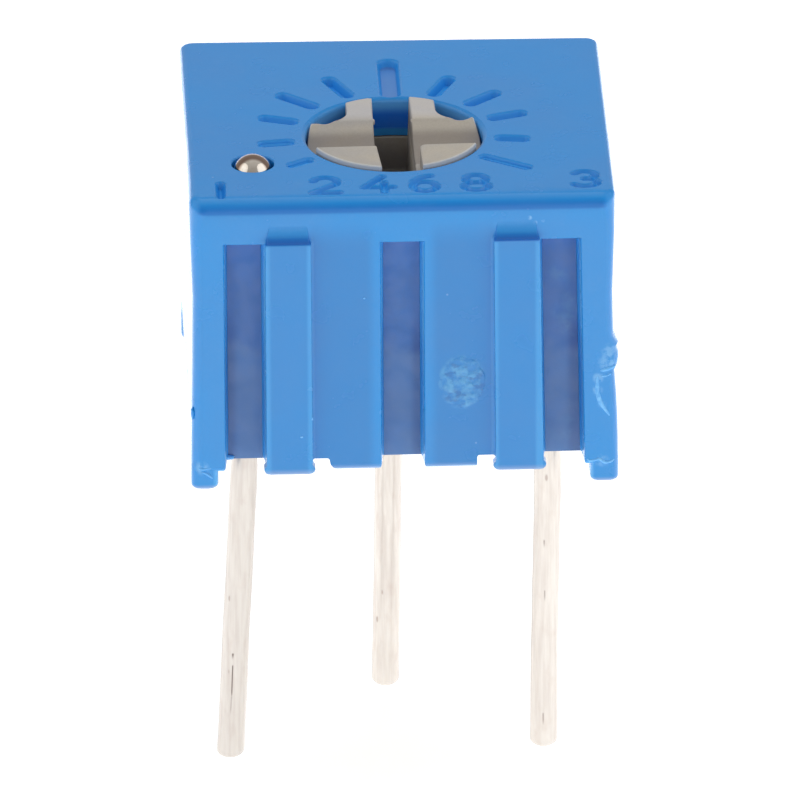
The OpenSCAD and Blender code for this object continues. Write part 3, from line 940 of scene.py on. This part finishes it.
def build_housing():
    body = housing_body()
    wall_y = FRONT_Y + FRONT_WALL
    floor_y = FRONT_Y + RECESS_D
    inner = HALF_W - OTHER_WALL
    # Inner cavity, rotor chamber, rotor hole and vent
    cut(
        body,
        block(-inner, inner, wall_y, BACK_Y - OTHER_WALL, -0.5, ROTOR_Z),
        prism(circle(AXIS_X, AXIS_Y, 1.9, 96), ROTOR_Z - 0.1, ROOF_Z),
        bore(AXIS_X, AXIS_Y, HOLE_R, ROTOR_Z, 0.085, 144),
        bore(VENT_X, VENT_Y, VENT_R, ROTOR_Z - 0.1, 0.03, 64),
    )
    for x, w, sill in ((-RECESS_X, RECESS_W, 0.32), (0, MID_RECESS_W, 0.33), (RECESS_X, RECESS_W, 0.33)):
        half = w / 2 + 0.05
        below = block(x - half, x + half, floor_y - 0.05, wall_y + 0.01, -0.5, sill)
        cut(body, recess_cutter(x, w), below)
    for side, flare in ((-1, 0.20), (1, 0.06)):
        cut(body, notch_cutter(side * (RIB_X - RIB_W / 2 - 0.14), 0.28, 0.24, flare))
    cut_dial(body)
    join(body, rib(-RIB_X, RECESS_Z + 0.055), rib(RIB_X, RECESS_Z + 0.07))
    for side_x, side_y, width in ((-1, -1, 0.45), (1, -1, 0.52), (-1, 1, 0.45), (1, 1, 0.45)):
        join(body, foot(side_x, side_y, width))
    clean_up(body)
    lean_front(body)
    ripple(body, 2.2, 0.006, 3)
    shade_flats(body)
    finish(body, "housing_shell", BLUE, HAZED)
    for face in body.data.polygons:
        c = face.center / MM
        if abs(c.y - floor_y) < 0.03 and face.normal.y < -0.9 and c.z < RECESS_Z:
            face.material_index = 1
    return body


# ---- wear on the housing
# Raised creases of the front, as points of (x, z), radius, and how deep the middle is sunk
CREASES = (
    ("crease_post_side",
     ((3.25, 2.02), (3.226, 1.85), (3.222, 1.62), (3.28, 1.42), (3.38, 1.26), (3.47, 1.12)), 0.056, 0.038),
    ("crease_post_top", ((3.25, 2.00), (3.32, 2.02), (3.42, 2.05), (3.52, 2.08)), 0.046, 0.030),
    ("crease_post_low", ((3.27, 1.90), (3.36, 1.91), (3.46, 1.95)), 0.026, 0.018),
    ("crease_foot_right",
     ((3.02, 0.43), (3.10, 0.36), (3.26, 0.40), (3.35, 0.33), (3.44, 0.34), (3.53, 0.39)), 0.034, 0.022),
    ("crease_foot_left", ((-3.47, 0.37), (-3.33, 0.35), (-3.19, 0.37)), 0.028, 0.018),
    ("crease_foot_fold", ((-3.34, 0.30), (-3.25, 0.25), (-3.17, 0.18)), 0.024, 0.014),
)
# Small lumps, as (x, mm behind the front, z), half sizes and seed
LUMPS = (
    ("lump_left_edge", (-3.488, 0.11, 1.34), (0.032, 0.05, 0.11), 3),
    ("lump_recess_edge", (-2.88, 0.46, 0.35), (0.078, 0.04, 0.045), 5),
    ("lump_rib_edge", (-1.515, -0.13, 1.30), (0.018, 0.02, 0.03), 7),
    ("lump_rib_face", (-1.69, -0.152, 0.98), (0.024, 0.012, 0.02), 9),
    ("lump_plate", (-0.63, -0.002, 3.42), (0.018, 0.01, 0.02), 11),
)


def gate_scar():
    """Rough torn disc where the mould was filled."""
    radius, rows, n = 0.40, 9, 48
    verts = [(GATE_X, FRONT_Y - 0.02, GATE_Z)]
    for k in range(1, rows + 1):
        for u, v in circle(0, 0, 1, n):
            reach = radius * k / rows * (1 + 0.12 * noise.noise(Vector((u * 2, v * 2, 4.0))))
            x, z = GATE_X + reach * u, GATE_Z + 1.25 * reach * v
            rough = noise.noise(Vector((x * 8, 1.7, z * 8)))
            rough += 0.5 * noise.noise(Vector((x * 19, 3.7, z * 19)))
            height = (0.012 + 0.017 * rough) * (1 - (k / rows) ** 4)
            verts.append((x, FRONT_Y - height + (0.012 if k == rows else 0), z))
    edge, base = 1 + (rows - 1) * n, len(verts)
    verts += [(x, FRONT_Y + 0.08, z) for x, y, z in verts[edge:]]
    faces = [[0, 1 + (i + 1) % n, 1 + i] for i in range(n)]
    for start in range(1, edge, n):
        faces += hoop(start, start + n, n)
    faces += hoop(edge, base, n)
    faces.append([base + i for i in range(n)])
    obj = mesh_object(verts, faces)
    shade_smooth(obj)
    return finish(obj, "gate_scar", BLUE)


def skin_y(x, z):
    """Front face of the housing at a height, round its corners too."""
    table = RIGHT_SWELL if x > 0 else LEFT_SWELL
    radius = 0.16 if x > 0 else 0.2
    out = next(a for (start, a), (end, b) in zip(table, table[1:]) if start <= z < end)
    if x > HALF_W - 0.3:
        out += BRUISE_OUT * clamp((z - BRUISE_LOW) / 0.1)
    beyond = min(abs(x) - (HALF_W + out - radius), radius * 0.98)
    return FRONT_Y if beyond <= 0 else FRONT_Y + radius - sqrt(radius**2 - beyond**2)


def crease(name, points, radius, sink):
    """Thin raised crease of stressed plastic on the front face, through points of (x, z)."""
    dense = []
    for (x0, z0), (x1, z1) in zip(points, points[1:]):
        dense += [(x0 + (x1 - x0) * k / 4, z0 + (z1 - z0) * k / 4) for k in range(4)]
    dense.append(points[-1])
    line = [Vector((x, skin_y(x, z) + sink, z)) for x, z in dense]
    shares = [(0.08 + k / (len(line) - 1)) / 1.16 for k in range(len(line))]
    radii = [radius * (0.35 + 0.65 * sin(pi * min(1, share))) for share in shares]
    return finish(tube(line, radii), name, STRESS)


def lump(name, centre, size, seed, material):
    """Small irregular pebble of plastic."""
    shift = Vector((seed, 0, seed))

    def shape(p):
        return Vector(centre) + p * (1 + 0.25 * noise.noise(p * 1.6 + shift)) * Vector(size)

    return finish(pebble(3, 1, shape), name, material)


# ---- rotor
def turned_rotor(flange_r, core_r, lug_z, segments):
    """Core, flange with the ring's groove, and hub."""
    ring_r, ring_low, ring_high = 1.45, lug_z + 0.22, HUB_Z - 1.51
    flange_z = ROOF_Z - 0.02
    profile = [
        (0, ROTOR_Z), (core_r, ROTOR_Z), (core_r, lug_z), (flange_r, lug_z), (flange_r, ring_low),
        (ring_r, ring_low), (ring_r, ring_high), (flange_r, ring_high), (flange_r, flange_z),
        (HUB_R, flange_z), (HUB_R, HUB_Z), (0, HUB_Z),
    ]
    return lathe(profile, segments, (0, 0))


def slot_cutter():
    """Driver slot, a little skewed at the front and drafted."""
    end = HUB_R + 0.001

    def outline(left, front_left, right):
        return [(-front_left, -end), (right, -end), (right, end), (-left, end), (-left, -0.6)]

    floor, mouth = outline(0.29, 0.275, 0.29), outline(0.325, 0.285, 0.33)
    return loft([at_z(floor, HUB_Z - 1.35), at_z(mouth, HUB_Z + 0.1)])


def valley_cutter():
    """Valley across the hub, upright in front and curving up to the back."""
    front, back, low_y, low_z, r = -0.55, 0.7, -0.35, HUB_Z - 0.36, 1.2
    side = [(front, HUB_Z + 0.3)]
    for k in range(25):
        y = front + (back - front) * k / 24
        side.append((y, low_z + r - sqrt(r * r - (y - low_y) ** 2)))
    side.append((back, HUB_Z + 0.3))
    return loft([[(x, y, z) for y, z in side] for x in (-2, 2)])


def pocket_cutter(side, sweep):
    """Pocket behind one arm, with a round inner corner."""
    x, y, r, far = 1.14, 0.87, 0.4, 2.2
    turn = [radians(sweep * k / 12) for k in range(13)]
    points = [(side * (x - r), far)]
    points += [(side * (x - r * cos(a)), y - r * sin(a)) for a in turn]
    points += [(side * far, points[-1][1]), (side * far, far)]
    return prism(points if side > 0 else points[::-1], HUB_Z - 0.35, HUB_Z + 0.1)


def ledge_cutter():
    """Ledge beside the right front quarter, with a round corner."""
    points = [(0.2, -1.7), (0.39, -1.7)]
    points += [(0.39 + 0.12 * up, -0.55 - 0.12 * to_go) for to_go, up in quarter(6)]
    points += [(0.51, -0.4), (0.2, -0.4)]
    return prism(points, HUB_Z - 0.345, HUB_Z + 0.1)


def build_rotor():
    flange_r, core_r, lug_z, segments = 1.85, 1.5, ROTOR_Z + 0.3, 108
    body = turned_rotor(flange_r, core_r, lug_z, segments)
    # The lug spans 40 degrees at the back, in steps of the turned body's own segments
    bends = [radians(70) + 2 * pi * k / segments for k in range(13)]
    lug_r, root_r = flange_r - 0.004, core_r - 0.06
    lug = [(lug_r * cos(a), lug_r * sin(a)) for a in bends]
    lug += [(root_r * cos(a), root_r * sin(a)) for a in bends[::-1]]
    join(body, prism(lug, ROTOR_Z, lug_z + 0.03))
    cut(body, slot_cutter(), valley_cutter(), pocket_cutter(-1, 104), pocket_cutter(1, 116), ledge_cutter())
    clean_up(body, 0.016, 0.6)
    soften(body, 0.026)
    ripple(body, 1.6, 0.004, 5)
    shade_flats(body, 50)
    body.data.transform(Matrix.Translation((AXIS_X, AXIS_Y, 0)) @ Matrix.Rotation(REST_TURN, 4, "Z"))
    return finish(body, "rotor_head", CREAM)


# ---- leads, potting and ball
def build_lead(index):
    """Round tinned wire: an upright shank, a bend at the seating plane, and a leg with a rounded tip."""
    name = f"lead_{index}"
    at, down = mount_mm(name)
    low, high = box_mm(name)
    leg_r, shank_r, tip, pitch, segments = 0.23, 0.21, 0.13, 0.09, 40
    length = (at.z - low.z) / -down.z + 0.055
    # Each station is a height along the wire and the share of the full radius there
    stations = [(tip * up - length, 1 - to_go) for to_go, up in quarter(7)]
    s = tip - length
    while s < high.z - 0.12:
        s += pitch
        stations.append((s, 1.0))
    stations.append((high.z - 0.01, 1.0))
    rings = []
    for s, share in stations:
        upright = 1 / (1 + exp(-(s - 0.05) / 0.07))
        leg = at + down * -s
        centre = leg.lerp(Vector((at.x, at.y, s)), upright) if s > -0.4 else leg
        wobble = noise.noise_vector(Vector((index * 9.1, 0.4, s * 0.9))) * 0.008
        radius = (leg_r + (shank_r - leg_r) * upright) * share
        ring = []
        for u, v in circle(0, 0, 1, segments):
            ragged = 1 + 0.018 * noise.noise(Vector((u * 1.3, v * 1.3, s * 1.6 + index * 5)))
            r = max(radius * ragged, 0.002)
            ring.append((centre.x + wobble.x + r * u, centre.y + wobble.y + r * v, centre.z))
        rings.append(ring)
    obj = loft(rings)
    shade_smooth(obj)
    return finish(obj, f"wire_{index}", WIRE)


def potting_z(x, y, leads):
    """Underside of the resin, with a meniscus at the walls and round each lead."""
    wall = min(x - POT_LOW.x, POT_HIGH.x - x, y - POT_LOW.y, POT_HIGH.y - y)
    z = POT_LOW.z - 0.05 * exp(-wall / 0.12)
    for at in leads:
        z -= 0.13 * exp(-max(0, hypot(x - at.x, y - at.y) - 0.21) / 0.11)
    z += 0.02 * noise.noise(Vector((x * 0.9, y * 0.9, 2.0)))
    return z + 0.006 * noise.noise(Vector((x * 5, y * 5, 8.0)))


def build_potting():
    """Cast resin, seen from below."""
    leads = [mount_mm(f"lead_{k}")[0] for k in (1, 2, 3)]
    nx, ny = 96, 88
    size = POT_HIGH - POT_LOW
    verts = []
    for j in range(ny + 1):
        for i in range(nx + 1):
            x, y = POT_LOW.x + size.x * i / nx, POT_LOW.y + size.y * j / ny
            verts.append((x, y, potting_z(x, y, leads)))
    row = nx + 1
    starts = [j * row + i for j in range(ny) for i in range(nx)]
    faces = [[k, k + row, k + row + 1, k + 1] for k in starts]
    border = list(range(row))
    border += [j * row + nx for j in range(1, ny + 1)]
    border += [ny * row + i for i in range(nx - 1, -1, -1)]
    border += [j * row for j in range(ny - 1, 0, -1)]
    base, n = len(verts), len(border)
    verts += [(*verts[k][:2], POT_HIGH.z) for k in border]
    faces += [[border[k], border[(k + 1) % n], base + (k + 1) % n, base + k] for k in range(n)]
    faces.append([base + k for k in range(n)])
    obj = mesh_object(verts, faces)
    for face in obj.data.polygons:
        face.use_smooth = face.normal.z < -0.3
    return finish(obj, "potting_resin", RESIN)


def build_ball():
    """Bright sealing ball, a little out of round."""
    centre = (BALL_LOW + BALL_HIGH) / 2
    ball = pebble(5, BALL_R - 0.002, lambda p: p * (1 + 0.006 * noise.noise(p * 4)) + centre)
    return finish(ball, "sealing_ball", BALL)


# ---- assembly
def place(obj, body, slot, *nodes):
    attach(obj, body)
    if nodes:
        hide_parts(*nodes)


place(build_housing(), "base", "housing", "housing")
place(build_rotor(), "dial", "rotor", "rotor")
for number in (1, 2, 3):
    place(build_lead(number), "base", "tinned_wire", f"lead_{number}")
place(build_potting(), "base", "potting", "potting")
place(build_ball(), "base", "ball", "vent_ball")
place(gate_scar(), "base", "housing")
for crease_name, line, thickness, sunk_by in CREASES:
    place(crease(crease_name, line, thickness, sunk_by), "base", "housing")
for lump_name, (across, behind, height), half_sizes, seed in LUMPS:
    skin = BLUE if lump_name == "lump_left_edge" else STRESS
    place(lump(lump_name, (across, FRONT_Y + behind, height), half_sizes, seed, skin), "base", "housing")
burr_at = (AXIS_X - 0.335, AXIS_Y + 0.52, HUB_Z - 0.06)
place(lump("lump_slot_edge", burr_at, (0.035, 0.05, 0.05), 13, CREAM), "dial", "rotor")

for node_name, material in {
    "o_ring": RUBBER,
    "wiper": SPRING,
    "ceramic_plate": CERAMIC,
    "resistive_track": CERMET,
    "collector": SILVER,
    "end_pad_1": SILVER,
    "end_pad_3": SILVER,
    "solder_1": SOLDER,
    "solder_2": SOLDER,
    "solder_3": SOLDER,
}.items():
    slots = frame["nodes"][node_name].data.materials
    if not slots:
        slots.append(material)
    for slot_index in range(len(slots)):
        slots[slot_index] = material


# ---- floor, world, lamps, camera
def build_floor():
    """Pale floor under the lead tips. It is seen from above only, so that views from below stay clear."""
    sides, reach, gap = 48, 0.30, 0.0002
    ring = at_z(circle(0, 0, reach, sides), cad_low.z - gap)
    floor = mesh_object(ring, [list(range(sides))], closed=False)
    floor.name = "floor"
    floor.data.name = "floor"
    material = bpy.data.materials.new("pale_floor")
    nodes = Nodes(material)
    grain = nodes.node("TexNoise", {"Scale": 900})
    tint = nodes.node("MapRange", {"Value": grain, "To Min": 0.86, "To Max": 0.90})
    matt = nodes.node("BsdfDiffuse", {"Color": tint})
    # The glow depends on what sees the floor
    glow = 0.0
    for ray, level in (("Camera", 0.52), ("Transmission", 0.52), ("Glossy", 1.55), ("Diffuse", 0.65)):
        glow = nodes.math("ADD", glow, nodes.times(nodes.node("LightPath", out=f"Is {ray} Ray"), level))
    lit = nodes.node("AddShader", {0: matt, 1: nodes.node("Emission", {"Strength": glow})})
    from_below = nodes.node("NewGeometry", out="Backfacing")
    seen = nodes.node("MixShader", {0: from_below, 1: lit, 2: nodes.node("BsdfTransparent")})
    nodes.node("OutputMaterial", {"Surface": seen})
    floor.data.materials.append(material)


# Level that reflections see, by the angle from the front horizon, over the top, to the back horizon
SKY = (
    (0, 2.0), (6, 1.5), (18, 0.42), (28, 0.40), (50, 0.49), (74, 0.58), (102, 0.68), (136, 0.74), (180, 0.80),
)
SKY_TOP = 2
SKY_PLAIN = 0.52


def build_world():
    """White for the camera. Reflections see a bright front horizon and a dim sky above it."""
    world = bpy.data.worlds.new("studio")
    bpy.context.scene.world = world
    nodes = Nodes(world)
    way = nodes.node("SeparateXYZ", {0: nodes.node("TexCoord", out="Generated")}).node.outputs
    angle = nodes.math("ARCTAN2", way["Z"], nodes.times(way["Y"], -1))
    ramp = nodes.node("ValToRGB", {0: nodes.node("MapRange", {"Value": angle, "From Max": pi})})
    points = ramp.node.color_ramp.elements
    while len(points) < len(SKY):
        points.new(0.5)
    for point, (degrees, level) in zip(points, SKY):
        grey = level / SKY_TOP
        point.position = degrees / 180
        point.color = (grey, grey, grey, 1)
    rays = nodes.node("LightPath").node.outputs
    shown = {0: rays["Is Glossy Ray"], 2: SKY_PLAIN, 3: nodes.times(ramp, SKY_TOP)}
    sky = nodes.node("Mix", shown, data_type="FLOAT")
    seen = nodes.math("MAXIMUM", rays["Is Camera Ray"], rays["Is Transmission Ray"])
    strength = nodes.node("Mix", {0: seen, 2: sky, 3: 1.0}, data_type="FLOAT")
    nodes.node("OutputWorld", {"Surface": nodes.node("Background", {"Strength": strength})})


def facing(azimuth, elevation, distance, across=0.0, above=0.0):
    """Turn and place of a lamp or camera that looks in from an azimuth, 0 in front, and an elevation."""
    turn = Matrix.Rotation(radians(azimuth), 4, "Z") @ Matrix.Rotation(radians(90 - elevation), 4, "X")
    return turn @ Matrix.Translation((across, above, distance))


def lamp(name, azimuth, elevation, size, level, mirrored=True, lights=True):
    """Soft lamp aimed at the part. Level 1 lights a facing surface about as brightly as it is written."""
    distance = 0.5
    data = bpy.data.lights.new(name, "AREA")
    data.shape = "DISK"
    data.size = size
    data.energy = level * pi**2 * distance**2
    obj = new_object(name, data)
    obj.matrix_world = Matrix.Translation((0, 0, 0.002)) @ facing(azimuth, elevation, distance)
    obj.visible_glossy = mirrored
    obj.visible_diffuse = lights


def build_camera():
    """Camera at the photograph's viewing angle, from a fit of the housing's corners."""
    azimuth, elevation, roll = -2.0952, 24.8318, -0.2882
    distance, across, above = 0.326852, 0.0291 * MM, -2.1592 * MM
    data = bpy.data.cameras.new("camera")
    data.lens = 884.21
    data.sensor_width = 36
    data.clip_start = 0.01
    data.clip_end = 10
    camera = new_object("camera", data)
    view = facing(azimuth, elevation, distance, across, above) @ Matrix.Rotation(radians(roll), 4, "Z")
    camera.matrix_world = Matrix.Translation((0, 0, 2.44 * MM)) @ view
    bpy.context.scene.camera = camera


build_floor()
build_world()
lamp("lamp_back", 174, 66, 0.5, 0.39, mirrored=False)
lamp("lamp_left", -76, 30, 0.46, 0.15)
lamp("lamp_right", 72, 30, 0.46, 0.15)
lamp("sheen_left", -76, 30, 0.62, 0.24, lights=False)
lamp("sheen_right", 72, 30, 0.62, 0.24, lights=False)
lamp("lamp_front", 3, -4, 0.6, 0.25, mirrored=False)
build_camera()
bpy.context.scene.view_settings.view_transform = "Standard"
